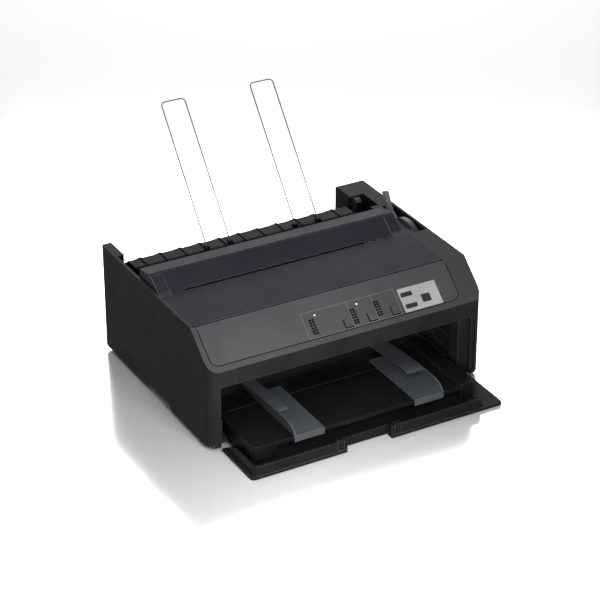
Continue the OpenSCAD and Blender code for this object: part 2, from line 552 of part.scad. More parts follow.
// ---- front cover ----
rim_r = mouth_r - 16;                // right end of the raised rim
rim_l = door_l + 3.5;
notch_x = mouth_mid - 8;
module front_cover() color("#1a1a1b") difference() {
    union() {
        difference() {
            translate([0, 0, door_z]) linear_extrude(cover_t) polygon(rounded(door_l, door_r, -cover_reach,
                hinge_y - 4, [7, 4, 0.5, 0.5]));
            block(rim_l + 2, rim_r + 6, -cover_reach + 3, hinge_y, door_z + panel_t, 20);
        }
        // raised rim: the lip along the front and the side walls, lower towards the hinge
        translate([0, 0, door_z]) linear_extrude(lip_h) difference() {
            polygon(rounded(rim_l, rim_r, -cover_reach + 0.5, -36, [7, 3, 0.5, 0.5]));
            polygon(rounded(rim_l + 3, rim_r - 3, -cover_reach + 4, 10, [4, 2, 0.5, 0.5]));
            translate([rim_r - 4, -cover_reach + 9]) square([10, 60]);
        }
        x_prism(rim_l, rim_l + 3) polygon([[-37, door_z], [-37, door_z + lip_h], [-28, door_z + lip_h],
            [-8, door_z + 8], [-3, door_z + cover_t - 0.5], [-3, door_z]]);
        // lip round the notch
        block(notch_x - notch_w / 2 - 3, notch_x + notch_w / 2 + 3, -cover_reach + notch_d,
            -cover_reach + notch_d + 3, door_z, door_z + lip_h - 5);
        // hinge knuckles
        for (x = [-150, 130]) difference() {
            union() {
                x_rod(x - 4, x + 12, hinge_y, hinge_z, 3);
                block(x - 4, x + 12, hinge_y - 6, hinge_y, door_z, hinge_z + 1);
            }
        }
    }
    block(notch_x - notch_w / 2, notch_x + notch_w / 2, -cover_reach - 1, -cover_reach + notch_d, 0, 40);
    // windows for the catches
    for (x = catch_x) block(x - 0.5, x + 9.5, -cover_reach - 1, -cover_reach + 4.4, door_z + cover_t + 1, 40);
    for (x = [-150, 130]) x_rod(x - 9, x + 17, hinge_y, hinge_z, pin_r - 0.5 + fit);
}
catch_x = [notch_x - notch_w / 2 - 14, notch_x + notch_w / 2 + 5];
module cover_catches() color("#2a2b2c") for (x = catch_x) {
    block(x, x + 9, -cover_reach + 4.41, -cover_reach + 8, door_z + panel_t, door_z + lip_h + 1.5);
    block(x, x + 9, -cover_reach + 0.2, -cover_reach + 5, door_z + cover_t + 1.5, door_z + lip_h + 1.5);
}
module cover_hinge_pins() color("#9a9c9e") for (x = [-150, 130])
    x_rod(x - 8.4, x + 16.4, hinge_y, hinge_z, pin_r - 0.5);

// ---- front tray ----
rail_x = tray_r - 26;                // raised side rail
shoe_y = -tray_reach + 92;           // slot that the edge guides slide in
module front_tray() color("#141415") difference() {
    union() {
        // top plate with its front rim
        translate([0, 0, tray_h - tray_t]) linear_extrude(tray_t) polygon(rounded(tray_l, tray_r - 4,
            -tray_reach, tray_len - tray_reach, [8, 3, 1, 1]));
        block(tray_l + 10, rail_x, -tray_reach, -tray_reach + 3, tray_h - 5, tray_h - 1);
        // side walls
        for (x = [tray_l, tray_r - 4]) block(x, x + 4, -tray_reach + 9, tray_len - tray_reach, tray_z, tray_h - 1);
        // front end blocks, their lower front edges bevelled to clear the rising cover
        difference() {
            union() {
                translate([0, 0, tray_z]) linear_extrude(tray_h - tray_z - 1) polygon(rounded(tray_l,
                    tray_l + 35, -tray_reach, -tray_reach + 12, [8, 2, 1, 1]));
                translate([0, 0, tray_z]) linear_extrude(tray_h - tray_z + 2.5) polygon(rounded(rail_x,
                    rail_x + 20, -tray_reach, -tray_reach + 12, [2, 2, 1, 1]));
            }
            x_prism(tray_l - 1, tray_r + 1) polygon([[-tray_reach - 1, tray_z - 1], [-tray_reach + 4, tray_z - 1],
                [-tray_reach - 1, tray_z + 4]]);
        }
        // raised side rail and stiffening ribs
        block(rail_x, rail_x + 20, -tray_reach + 8, tray_len - tray_reach, tray_h - 1, tray_h + 2.5);
        for (y = [-tray_reach + 40, -tray_reach + 80, tray_len - tray_reach - 3])
            block(tray_l + 1, tray_r - 5, y, y + 2.4, tray_h - 10, tray_h - 1);
    }
    // slot that the edge guides slide in
    block(tray_l + 14, rail_x - 6, shoe_y, shoe_y + 4, tray_h - 20, tray_h + 1);
}

// side view of an edge guide's fence, and of its top flap
fence_top = tray_h + guide_h;
module edge_guide(x0, side) color("#45484a") {
    x1 = x0 + guide_w;
    fx = side < 0 ? x0 : x1 - 2.4;
    front = -tray_reach - 2.6;
    rear = -tray_reach + guide_len;
    // base with the lip over the tray's front edge and the shoe in the slot
    translate([0, 0, tray_h + gap]) linear_extrude(2) polygon(rounded(x0, x1, front, rear - 34, [2, 2, 1, 1]));
    block(x0, x1, front, front + 2.2, tray_h - 7, tray_h + gap + 2);
    block(x0 + 10, x1 - 10, shoe_y + gap, shoe_y + 4 - gap, tray_h - 6, tray_h + gap + 1);
    block(x0 + 6, x1 - 6, shoe_y - 2, shoe_y + 6, tray_h - tray_t - gap - 1.6, tray_h - tray_t - gap);
    // fence
    x_prism(fx, fx + 2.4) polygon(concat([for (a = [180:-10:90]) [front + 27 + 26 * cos(a),
        tray_h + 1 + (guide_h - 1) * sin(a)]], [[-21, fence_top], [rear - 40, fence_top - 4],
        [rear, fence_top - 8], [rear, fence_top - 11], [rear - 34, tray_h + 1]]));
    // flap over the sheet
    flap_w = side < 0 ? 18 : 26;
    fl = side < 0 ? x0 : x1 - flap_w;
    x_prism(fl, fl + flap_w) polygon(strip([[-18, fence_top - 2.6], [-14, fence_top - 0.8], [-8, fence_top],
        [rear - 40, fence_top - 4], [rear, fence_top - 8]], 1.8));
}
left_guide_x = mouth_mid - 110.5;
right_guide_x = mouth_mid + 70;
module left_edge_guide() edge_guide(left_guide_x, -1);
module right_edge_guide() edge_guide(right_guide_x, 1);

// ---- print mechanism ----
module side_frame_outline() polygon([[202, floor_z + 2], [300, floor_z + 2], [300, 84], [case_d - 28, 84],
    [case_d - 28, tractor_z + 12], [tractor_y - 22, tractor_z + 12], [200, platen_z + 13],
    [platen_y + 10, platen_z + 15], [platen_y - 10, platen_z + 15], [exit_y - 3, platen_z - 1.8], [62, platen_z - 1.8],
    [62, 62], [192, 62], [202, 52]]);
module side_frame(x) color("#8e9194") difference() {
    x_prism(x, x + frame_t) side_frame_outline();
    x_rod(x - 1, x + 3, platen_y, platen_z, bush_r + 0.02);
    x_rod(x - 1, x + 3, rod_y, rod_z, rail_r + 0.02);
    x_rod(x - 1, x + 3, tractor_y, tractor_z, shaft_r + fit);
    x_rod(x - 1, x + 3, rod2_y, tractor_z, 3.02);
    // lightening holes
    x_rod(x - 1, x + 3, 224, 34, 12);
    x_rod(x - 1, x + 3, 262, 44, 14);
}
module left_side_frame() side_frame(frame_l);
module right_side_frame() difference() {
    side_frame(frame_r - frame_t);
    x_rod(frame_r - 3, frame_r + 1, pinion_c[0], pinion_c[1], 7);
    x_rod(frame_r - 3, frame_r + 1, idler_c[0], idler_c[1], 3.02);
}
module carriage_shaft() color("#b9bcbf") x_rod(frame_l - 4, frame_r, rod_y, rod_z, rail_r);
module carriage_rail() color("#8e9194") x_prism(frame_l + frame_t, frame_r - frame_t)
    polygon([[64, platen_z - 18], [76, platen_z - 18], [76, platen_z - 6], [74.8, platen_z - 6],
        [74.8, platen_z - 16.8], [64, platen_z - 16.8]]);

home_x = pulley_l + 46;              // carriage centre at rest, at the left
module carriage() color("#2b2c2e") difference() {
    union() {
        block(home_x - 23, home_x + 23, rod_y - 14, rod_y + 14, rod_z - 11, rod_z + 11.8);
        // arm that rides on the front rail
        block(home_x - 16, home_x + 16, 70, rod_y - 14, platen_z - 10, platen_z - 2);
        block(home_x - 16, home_x + 16, rod_y - 19, rod_y - 13, rod_z + 2, platen_z - 2);
        // deck under the print head
        block(home_x - 20, home_x + 20, rod_y - 14, rod_y + 24, rod_z + 11, rod_z + 13);
        // clamp over the belt
        block(home_x - 9, home_x + 9, belt_y - 6, rod_y - 8, belt_z + 4, belt_z + 14);
    }
    x_rod(home_x - 24, home_x + 24, rod_y, rod_z, rail_r + fit);
    block(home_x - 30, home_x + 30, 74.8 - gap, 76 + gap, platen_z - 12, platen_z - 6 + gap);
    block(home_x - 30, home_x + 30, belt_y - belt_w / 2 - gap, belt_y + belt_w / 2 + gap,
        belt_z + pulley_r - gap, belt_z + pulley_r + belt_t + gap);
}
module print_head() color("#3a3b3d") {
    z0 = rod_z + 13;
    head_back = rod_y - 12;
    block(home_x - 17, home_x + 17, head_back, rod_y + 22, z0, platen_z - 8);
    for (i = [0:5]) block(home_x - 17, home_x + 17, head_back + i * 5, head_back + i * 5 + 2, z0, platen_z + 10);
    block(home_x - 12, home_x + 12, head_back, rod_y + 22, z0, platen_z + 6);
    y_prism(rod_y + 20, exit_y - 1.7) polygon(rounded(home_x - 5, home_x + 5, platen_z - 7, platen_z + 7, [2, 2, 2, 2]));
    x_prism(home_x - 9, home_x + 9) polygon([[rod_y + 18, platen_z - 10], [rod_y + 27, platen_z - 7],
        [rod_y + 27, platen_z + 7], [rod_y + 18, platen_z + 10]]);
}
cart_z = platen_z - 1.5;
arm_l = frame_l + 12;
arm_r = frame_r - 12;
module ribbon_cartridge() color("#1c1c1e") difference() {
    union() {
        block(arm_l, arm_r, 62, rod_y - 16, cart_z, cart_z + 20);
        for (x = [arm_l, arm_r - 10]) x_prism(x, x + 10) polygon([[rod_y - 17, cart_z], [exit_y - 4, cart_z],
            [exit_y - 1, cart_z + 3], [exit_y - 1, cart_z + 9], [rod_y - 6, cart_z + 20], [rod_y - 17, cart_z + 20]]);
        // ears that rest on the side frames
        for (x = [frame_l, frame_r - 13]) block(x, x + 13, 70, 96, cart_z - 0.3, cart_z + 4);
        // take-up knob
        z_rod(cart_z + 19, cart_z + 26, arm_l + 30, 82, 9);
    }
    // slots where the ribbon leaves the arms
    for (x = [arm_l + 5, arm_r - 8]) block(x, x + 3, exit_y - 12, exit_y + 1, cart_z - 1, cart_z + 10);
}
module ink_ribbon() color("#101012") block(arm_l + 5.2, arm_r - 5.2, exit_y - 0.9, exit_y - 0.65, platen_z - 1.2, platen_z + 7);

module belt_loop(r) polygon(concat(arc([pulley_l, belt_z], r, 90, 270, 16), arc([pulley_right, belt_z], r, -90, 90, 16)));
module timing_belt() color("#202022") y_prism(belt_y - belt_w / 2, belt_y + belt_w / 2) difference() {
    belt_loop(pulley_r + belt_t);
    belt_loop(pulley_r + 0.05);
}
module pulley(x) color("#d6d3c4") difference() {
    union() {
        y_rod(belt_y - belt_w / 2, belt_y + belt_w / 2, x, belt_z, pulley_r);
        for (y = [belt_y - belt_w / 2 - 1.3, belt_y + belt_w / 2 + 0.3])
            y_rod(y, y + 1, x, belt_z, pulley_r + 2);
        y_rod(belt_y - belt_w / 2 - 0.5, belt_y + belt_w / 2 + 0.5, x, belt_z, pulley_r - 2);
    }
    y_rod(belt_y - 9, belt_y + 9, x, belt_z, 2 + fit);
}
module drive_pulley() pulley(pulley_l);
module idler_pulley() pulley(pulley_right);
bracket_y = belt_y + belt_w / 2 + 4;
module carriage_motor() color("#6f7174") {
    y_rod(bracket_y + frame_t, bracket_y + frame_t + 38, pulley_l, belt_z, 16);
    y_rod(belt_y - 6, bracket_y + frame_t + 1, pulley_l, belt_z, 2);
    y_rod(bracket_y + frame_t + 38, bracket_y + frame_t + 41, pulley_l, belt_z, 6);
}
module motor_brackets() color("#8e9194") {
    difference() {
        block(frame_l + frame_t, pulley_l + 17, bracket_y, bracket_y + frame_t, belt_z - 15, belt_z + 15);
        y_rod(bracket_y - 1, bracket_y + 3, pulley_l, belt_z, 2.3);
    }
    block(pulley_right - 12, frame_r - frame_t, bracket_y, bracket_y + frame_t, belt_z - 12, belt_z + 12);
    y_rod(belt_y - 6, bracket_y + frame_t, pulley_right, belt_z, 2);
}

// ---- platen and paper feed ----
platen_x0 = frame_l + 18;
platen_x1 = frame_r - 18;
module platen() color("#1b1b1c") difference() {
    x_rod(platen_x0, platen_x1, platen_y, platen_z, platen_r);
    x_rod(platen_x0 - 1, platen_x1 + 1, platen_y, platen_z, shaft_r + 0.01);
}
module platen_shaft() color("#b9bcbf") x_rod(frame_l - 4, case_r + knob_out - 4, platen_y, platen_z, shaft_r);
module platen_bushes() color("#d6d3c4") for (x = [frame_l, frame_r - frame_t]) difference() {
    union() {
        x_rod(x - 1.2, x + frame_t + 1.2, platen_y, platen_z, bush_r);
        x_rod(x + frame_t + 0.02, x + frame_t + 1.2, platen_y, platen_z, bush_r + 2);
    }
    x_rod(x - 3, x + 5, platen_y, platen_z, shaft_r + fit);
}
module gear_wheel(x, c, n, phase, bore, web = true) difference() {
    union() {
        x_prism(x, x + gear_w) gear_outline(n, gear_m, phase, $fn = 24);
    }
    x_rod(x - 1, x + gear_w + 1, c[0], c[1], bore);
}
// a gear drawn round its own centre, then moved there
module placed_gear(x, c, n, phase, bore, ring) color("#d6d3c4") translate([0, c[0], c[1]]) difference() {
    x_prism(x, x + gear_w) gear_outline(n, gear_m, phase);
    x_rod(x - 1, x + gear_w + 1, 0, 0, bore);
    // recessed web
    if (ring > 0) for (s = [-1, gear_w - 2]) difference() {
        x_rod(x + s, x + s + 3, 0, 0, gear_m * n / 2 - 4);
        x_rod(x + s - 1, x + s + 4, 0, 0, ring);
    }
}
module platen_gear() placed_gear(gear_x, [platen_y, platen_z], teeth_platen, 0, shaft_r + 0.01, 8);
module platen_knob() color("#1f2021") difference() {
    union() {
        x_rod(cup_x + 2.3, case_r + knob_out, platen_y, platen_z, knob_r - 1.2);
        for (i = [0:23]) translate([cup_x + 2.3, platen_y, platen_z]) rotate([i * 15, 0, 0])
            translate([0, 0, knob_r - 2]) cube([case_r + knob_out - 1.5 - cup_x - 2.3, 1.6, 2]);
    }
    x_rod(cup_x, case_r + knob_out - 4, platen_y, platen_z, shaft_r + 0.01);
    x_rod(case_r + knob_out - 2, case_r + knob_out + 1, platen_y, platen_z, knob_r - 5);
}
module idler_gear() placed_gear(gear_x, idler_c, teeth_idler, idler_phase, 3 + fit, 7);
module idler_pin() color("#b9bcbf") {
    x_rod(frame_r - frame_t, gear_x + gear_w + 2, idler_c[0], idler_c[1], 3);
    x_rod(gear_x + gear_w + gap, gear_x + gear_w + 2, idler_c[0], idler_c[1], 5);
    x_rod(frame_r, gear_x - gap, idler_c[0], idler_c[1], 5);
}
module feed_motor() color("#6f7174") {
    x_rod(frame_r - frame_t - 42, frame_r - frame_t, pinion_c[0], pinion_c[1], motor_r);
    x_rod(frame_r - frame_t - 1, frame_r + 0.5, pinion_c[0], pinion_c[1], 6);
    x_rod(frame_r - frame_t - 45, frame_r - frame_t - 41, pinion_c[0], pinion_c[1], 5);
    x_rod(frame_r, gear_x + gear_w - 0.5, pinion_c[0], pinion_c[1], 2);
}
module feed_pinion() placed_gear(gear_x, pinion_c, teeth_pinion, pinion_phase, 2 + fit, 0);

// ---- tractors behind the platen ----
shaft_end = gear_x + gear_w + 3;
tractor_places = [frame_l + 86, frame_r - 100];
tractor_w = 22;
module tractor_shaft() color("#b9bcbf") x_rod(frame_l - 3, shaft_end, tractor_y, tractor_z, shaft_r);
module tractor_gear() placed_gear(gear_x, [tractor_y, tractor_z], teeth_tractor, tractor_phase, shaft_r + 0.01, 8);
module tractor_rod() color("#b9bcbf") x_rod(frame_l, frame_r, rod2_y, tractor_z, 3);
module tractor(x) color("#26272a") difference() {
    union() {
        x_prism(x, x + tractor_w) polygon(concat(arc([tractor_y, tractor_z], 11.5, 270, 90, 10),
            arc([rod2_y, tractor_z], 8, 90, -90, 8)));
        // hinge lugs of the cover
        for (s = [0, tractor_w - 3]) x_prism(x + s, x + s + 3) polygon(concat([[rod2_y - 4, tractor_z]],
            [[rod2_y - 3.4, tractor_z + 12]], arc([rod2_y, tractor_z + 12], 3.4, 180, 0, 8), [[rod2_y + 4, tractor_z]]));
    }
    x_rod(x - 1, x + tractor_w + 1, tractor_y, tractor_z, shaft_r + 0.3);
    x_rod(x - 1, x + tractor_w + 1, rod2_y, tractor_z, 3 + fit);
    // well for the sprocket wheel
    x_rod(x + 8, x + 15, tractor_y, tractor_z, sprocket_r + 4.4);
    x_rod(x - 1, x + tractor_w + 1, rod2_y, tractor_z + 12, 1.5 + fit);
}
module left_tractor() tractor(tractor_places[0]);
module right_tractor() tractor(tractor_places[1]);
module sprocket(x) color("#d6d3c4") difference() {
    union() {
        x_rod(x + 8 + gap, x + 15 - gap, tractor_y, tractor_z, sprocket_r);
        for (i = [0:7]) translate([x + 11.5, tractor_y, tractor_z]) rotate([i * 45 + 22.5, 0, 0])
            translate([0, 0, sprocket_r - 2]) cylinder(h = 5.4, r = 1.6);
    }
    x_rod(x, x + tractor_w, tractor_y, tractor_z, shaft_r + fit);
}
module left_sprocket() sprocket(tractor_places[0]);
module right_sprocket() sprocket(tractor_places[1]);
module tractor_cover(x) color("#2d2e31") difference() {
    union() {
        block(x, x + tractor_w, tractor_y - 12, rod2_y - 5, tractor_z + 13.5, tractor_z + 15.4);
        block(x + 3 + gap, x + tractor_w - 3 - gap, rod2_y - 6, rod2_y, tractor_z + 13.5, tractor_z + 15.4);
        x_rod(x + 3 + gap, x + tractor_w - 3 - gap, rod2_y, tractor_z + 12, 3.4);
        x_rod(x + 0.2, x + tractor_w - 0.2, rod2_y, tractor_z + 12, 1.5);
    }
    block(x + 8.5, x + 14.5, tractor_y - 13, tractor_y + 15, tractor_z + 8, tractor_z + 20);
}
module left_tractor_cover() tractor_cover(tractor_places[0]);
module right_tractor_cover() tractor_cover(tractor_places[1]);

// ---- levers ----
module paper_release_lever() color("#8b8d8f") difference() {
    x0 = slot_x0 + 1;
    union() {
        x_rod(x0, x0 + 8, platen_y, platen_z, disc_r);
        x_rod(x0, x0 + 8, platen_y, platen_z, boss_r + 3);
        x_prism(x0, x0 + 7) polygon([[platen_y + 22, platen_z + 26], [platen_y + 35, platen_z + 12],
            [platen_y + 50, case_h + 2], [platen_y + 62, case_h + 24], [platen_y + 55, case_h + 26],
            [platen_y + 40, case_h + 1]]);
    }
    x_rod(x0 - 1, x0 + 9, platen_y, platen_z, boss_r + fit);
    // lower half cut away
    block(x0 - 1, x0 + 9, platen_y - 50, platen_y + 50, platen_z - 50, platen_z - 14);
}
module thickness_lever() color("#8b8d8f") difference() {
    x0 = frame_l - 3.2;
    union() {
        x_rod(x0, x0 + 2.9, rod_y, rod_z, 12);
        x_prism(x0, x0 + 2.9) polygon([[rod_y - 8, rod_z + 6], [rod_y + 8, rod_z + 6], [rod_y - 18, case_h - 10],
            [rod_y - 26, case_h - 10]]);
    }
    x_rod(x0 - 1, x0 + 4, rod_y, rod_z, rail_r + fit);
}

// ---- electrics ----
module main_board() color("#1f5a38") difference() {
    block(board_l, board_r, case_d - 116, case_d - 18, floor_z + 9, floor_z + 10.6);
    for (x = post_x, y = post_y) z_rod(0, 40, x, y, 1.6);
}
module rear_sockets() color("#2a2b2d") {
    // mains inlet with three blades
    difference() {
        block(inlet_x - 13.7, inlet_x + 13.7, case_d - 22, case_d, 28.3, 49.7);
        y_prism(case_d - 18, case_d + 1) polygon([[inlet_x - 11.5, 31], [inlet_x + 11.5, 31], [inlet_x + 11.5, 43],
            [inlet_x + 8, 47.5], [inlet_x - 8, 47.5], [inlet_x - 11.5, 43]]);
    }
    for (p = [[-7, 37], [7, 37], [0, 42.5]]) block(inlet_x + p[0] - 1, inlet_x + p[0] + 1, case_d - 18.2, case_d - 4,
        p[1] - 2, p[1] + 2);
    // housing and pivots of the rocker switch
    difference() {
        block(switch_x - 9, switch_x + 9, case_d - 18, case_d - wall, 27, 51);
        block(switch_x - 7.2, switch_x + 7.2, case_d - 16, case_d, 28, 50);
    }
    for (x = [switch_x - 7.5, switch_x + 3.5]) x_rod(x, x + 4, switch_y, 39, 1.5);
    // wide data socket and small data socket
    difference() {
        union() {
            block(wide_x - 27.7, wide_x + 27.7, case_d - 24, case_d - wall - gap, floor_z + 10.6, 43.7);
            block(wide_x - 27.7, wide_x + 27.7, case_d - 9, case_d, 28.3, 43.7);
        }
        block(wide_x - 22, wide_x + 22, case_d - 10, case_d + 1, 31, 41);
    }
    block(wide_x - 19, wide_x + 19, case_d - 10.2, case_d - 2, 34.5, 37.5);
    difference() {
        union() {
            block(small_x - 6.7, small_x + 6.7, case_d - 24, case_d - wall - gap, floor_z + 10.6, 40.7);
            block(small_x - 6.7, small_x + 6.7, case_d - 9, case_d, 28.3, 40.7);
        }
        block(small_x - 4.3, small_x + 4.3, case_d - 10, case_d + 1, 30, 38.5);
    }
}
module power_switch() color("#1a1a1a") difference() {
    translate([0, switch_y, 39]) x_prism(switch_x - 6.5, switch_x + 6.5) polygon([[-3, -5], [0.5, -9.6],
        [4.9, -9.6], [4.3, 0], [6.3, 9.3], [1.5, 9.5], [-3, 5]]);
    x_rod(switch_x - 8, switch_x + 8, switch_y, 39, 1.5 + fit);
}

at_origin() upper_case();
at_origin() lower_case();
at_origin() feet();
at_origin() rear_cover();
at_origin() control_panel();
at_origin() panel_label();
at_origin() status_lights();
at_origin() printer_cover();
at_origin() sheet_guide_cover();
at_origin() rear_paper_guide();
at_origin() left_wire_support();
at_origin() right_wire_support();
at_origin() front_cover();
at_origin() cover_catches();
at_origin() cover_hinge_pins();
at_origin() front_tray();
at_origin() left_edge_guide();
at_origin() right_edge_guide();
at_origin() left_panel_button();
at_origin() middle_panel_button();
at_origin() right_panel_button();
at_origin() upper_label_button();
at_origin() lower_label_button();
at_origin() square_label_button();
at_origin() left_side_frame();
at_origin() right_side_frame();
at_origin() carriage_shaft();
at_origin() carriage_rail();
at_origin() carriage();
at_origin() print_head();
at_origin() ribbon_cartridge();
at_origin() ink_ribbon();
at_origin() timing_belt();
at_origin() drive_pulley();
at_origin() idler_pulley();
at_origin() carriage_motor();
at_origin() motor_brackets();
at_origin() platen();
at_origin() platen_shaft();
at_origin() platen_bushes();
at_origin() platen_gear();
at_origin() platen_knob();
at_origin() idler_gear();
at_origin() idler_pin();
at_origin() feed_motor();
at_origin() feed_pinion();
at_origin() tractor_shaft();
at_origin() tractor_gear();
at_origin() tractor_rod();
at_origin() left_tractor();
at_origin() right_tractor();
at_origin() left_tractor_cover();
at_origin() right_tractor_cover();
at_origin() left_sprocket();
at_origin() right_sprocket();
at_origin() paper_release_lever();
at_origin() thickness_lever();
at_origin() main_board();
at_origin() rear_sockets();
at_origin() power_switch();
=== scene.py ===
import math
import bmesh
import bpy
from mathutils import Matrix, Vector


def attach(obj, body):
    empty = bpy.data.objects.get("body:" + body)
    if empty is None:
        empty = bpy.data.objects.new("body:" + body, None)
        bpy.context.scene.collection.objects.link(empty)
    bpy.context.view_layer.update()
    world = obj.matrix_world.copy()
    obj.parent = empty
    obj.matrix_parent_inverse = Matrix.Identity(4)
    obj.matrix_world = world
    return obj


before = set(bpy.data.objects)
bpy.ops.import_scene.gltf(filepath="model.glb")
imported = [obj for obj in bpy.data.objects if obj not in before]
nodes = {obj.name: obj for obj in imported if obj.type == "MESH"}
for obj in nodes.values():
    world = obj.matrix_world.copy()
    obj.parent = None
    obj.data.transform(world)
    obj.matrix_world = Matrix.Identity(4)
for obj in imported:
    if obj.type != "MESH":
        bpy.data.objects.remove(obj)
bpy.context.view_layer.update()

# millimetres of the case: x from its middle, y from its front face, z from the table
offX, offY = -5.0, -148.407
frontH, deckH, slopeDepth = 118.5, 162.0, 50.4
slopeA = math.atan2(deckH - frontH, slopeDepth)


def at(x, y, z):
    return Vector(((x + offX) / 1000, (y + offY) / 1000, z / 1000))


def onPanel(x, s, h):  # s runs up the sloping panel from its lower edge, h stands off it
    y = s * math.cos(slopeA) - h * math.sin(slopeA)
    z = frontH + s * math.sin(slopeA) + h * math.cos(slopeA)
    return at(x, y, z)


def linear(code):  # sRGB hex to linear light
    out = []
    for i in (1, 3, 5):
        v = int(code[i:i + 2], 16) / 255
        out.append(v / 12.92 if v <= 0.04045 else ((v + 0.055) / 1.055) ** 2.4)
    return (*out, 1)


def add(tree, kind, values=None, links=None, **settings):
    # one node: its settings, the values of its sockets, and what feeds them
    node = tree.nodes.new("ShaderNode" + kind)
    for k, v in settings.items():
        setattr(node, k, v)
    for k, v in (values or {}).items():
        node.inputs[k].default_value = v
    for k, (source, out) in (links or {}).items():
        tree.links.new(source.outputs[out], node.inputs[k])
    return node


def newMaterial(name):
    mat = bpy.data.materials.new(name)
    mat.use_nodes = True
    return mat, mat.node_tree, mat.node_tree.nodes["Principled BSDF"]


cloudLook = {"detail": 3.0, "darkAt": 0.35, "lightAt": 0.65}


def cloudyTone(tree, place, v):
    # colour that drifts between a dark and a light tone over v["cloudMm"]
    cloud = add(tree, "TexNoise", {"Scale": 1000 / v["cloudMm"], "Detail": cloudLook["detail"]},
                {"Vector": (place, "Object")})
    tone = add(tree, "ValToRGB", links={"Fac": (cloud, "Fac")})
    stops = ((cloudLook["darkAt"], v["dark"]), (cloudLook["lightAt"], v["light"]))
    for stop, (pos, code) in zip(tone.color_ramp.elements, stops):
        stop.position, stop.color = pos, linear(code)
    return tone


# What all moulded plastics share: edges are lightened where the softened corner leans away from the face,
# partly rubbed wear and partly a painted highlight (leanFrom to leanTo are cosines), and faces that point up
# more than the From cosine of the up-facing tone are lightened, partly dust and partly a painted sheen
mouldedLook = {"leanFrom": 0.985, "leanTo": 0.85, "cornerSamples": 4, "dustAndSheenTone": "#8f9096", "dustAndSheenFrom": 0.6,
               "glossFiner": 3, "glossDetail": 4.0, "roughSpread": 0.05, "grainDetail": 2.0, "bump": 0.6,
               "coatRough": 0.15}


def moulded(name, v):
    # plastic or rubber from a mould: cloudy colour, edges lightened by rubbing and by a painted highlight,
    # up-facing faces lightened by dust and by a painted sheen, grain and soft corners
    mat, tree, shader = newMaterial(name)
    look = mouldedLook
    place = add(tree, "TexCoord")
    tone = cloudyTone(tree, place, v)
    soft = add(tree, "Bevel", {"Radius": v["edgeMm"] / 1000}, samples=look["cornerSamples"])
    true = add(tree, "NewGeometry")
    lean = add(tree, "VectorMath", links={0: (soft, "Normal"), 1: (true, "Normal")},
               operation="DOT_PRODUCT")
    rubAndHighlightMask = add(tree, "MapRange", {"From Min": look["leanFrom"], "From Max": look["leanTo"]},
               {"Value": (lean, "Value")})
    # edge colour: partly rubbed wear, partly a painted highlight
    rubAndHighlight = add(tree, "Mix", {7: linear(v["edge"])}, {0: (rubAndHighlightMask, "Result"), 6: (tone, "Color")},
               data_type="RGBA")
    facing = add(tree, "SeparateXYZ", links={"Vector": (place, "Normal")})
    dustAndSheenAmount = add(tree, "MapRange",
                 {"From Min": look["dustAndSheenFrom"], "From Max": 1.0, "To Max": v.get("dustAndSheen", 0.0)},
                 {"Value": (facing, "Z")})
    # up-facing faces turn paler: partly dust, partly a painted sheen
    dustAndSheen = add(tree, "Mix", {7: linear(look["dustAndSheenTone"])}, {0: (dustAndSheenAmount, "Result"), 6: (rubAndHighlight, 2)},
                data_type="RGBA")
    tree.links.new(dustAndSheen.outputs[2], shader.inputs["Base Color"])
    glossScale = look["glossFiner"] * 1000 / v["cloudMm"]
    gloss = add(tree, "TexNoise", {"Scale": glossScale, "Detail": look["glossDetail"]},
                {"Vector": (place, "Object")})
    low, high = v["rough"] - look["roughSpread"], v["rough"] + look["roughSpread"]
    rough = add(tree, "MapRange", {"To Min": low, "To Max": high}, {"Value": (gloss, "Fac")})
    tree.links.new(rough.outputs["Result"], shader.inputs["Roughness"])
    grain = add(tree, "TexNoise", {"Scale": 1000 / v["grainMm"], "Detail": look["grainDetail"]},
                {"Vector": (place, "Object")})
    bump = add(tree, "Bump", {"Strength": look["bump"], "Distance": v["grainDepthMm"] / 1000},
               {"Height": (grain, "Fac"), "Normal": (soft, "Normal")})
    tree.links.new(bump.outputs["Normal"], shader.inputs["Normal"])
    shader.inputs["Specular IOR Level"].default_value = v["specular"]
    shader.inputs["Coat Weight"].default_value = v.get("coat", 0.0)
    shader.inputs["Coat Roughness"].default_value = look["coatRough"]
    return mat


workedLook = {"cornerSamples": 4, "streakDetail": 2.0, "roughSpread": 0.08, "bump": 0.3}


def worked(name, v):
    # metal that was drawn, rolled, ground or plated: cloudy tone and fine streaks along one way
    mat, tree, shader = newMaterial(name)
    look = workedLook
    shader.inputs["Metallic"].default_value = 1.0
    place = add(tree, "TexCoord")
    tone = cloudyTone(tree, place, v)
    tree.links.new(tone.outputs["Color"], shader.inputs["Base Color"])
    along = add(tree, "Mapping", {"Scale": v["along"]}, {"Vector": (place, "Object")})
    streak = add(tree, "TexNoise", {"Scale": 1000 / v["streakMm"], "Detail": look["streakDetail"]},
                 {"Vector": (along, "Vector")})
    low, high = v["rough"] - look["roughSpread"], v["rough"] + look["roughSpread"]
    rough = add(tree, "MapRange", {"To Min": low, "To Max": high}, {"Value": (streak, "Fac")})
    tree.links.new(rough.outputs["Result"], shader.inputs["Roughness"])
    soft = add(tree, "Bevel", {"Radius": v["edgeMm"] / 1000}, samples=look["cornerSamples"])
    bump = add(tree, "Bump", {"Strength": look["bump"], "Distance": v["streakDepthMm"] / 1000},
               {"Height": (streak, "Fac"), "Normal": (soft, "Normal")})
    tree.links.new(bump.outputs["Normal"], shader.inputs["Normal"])
    return mat


# In the finishes below, the edge colour is partly rubbed wear and partly a painted highlight
# In the finishes below a real mould grain is 0.1 to 0.3 mm across. It is drawn at 0.4 to 2 mm,
# because a finer one doesn't show in the render

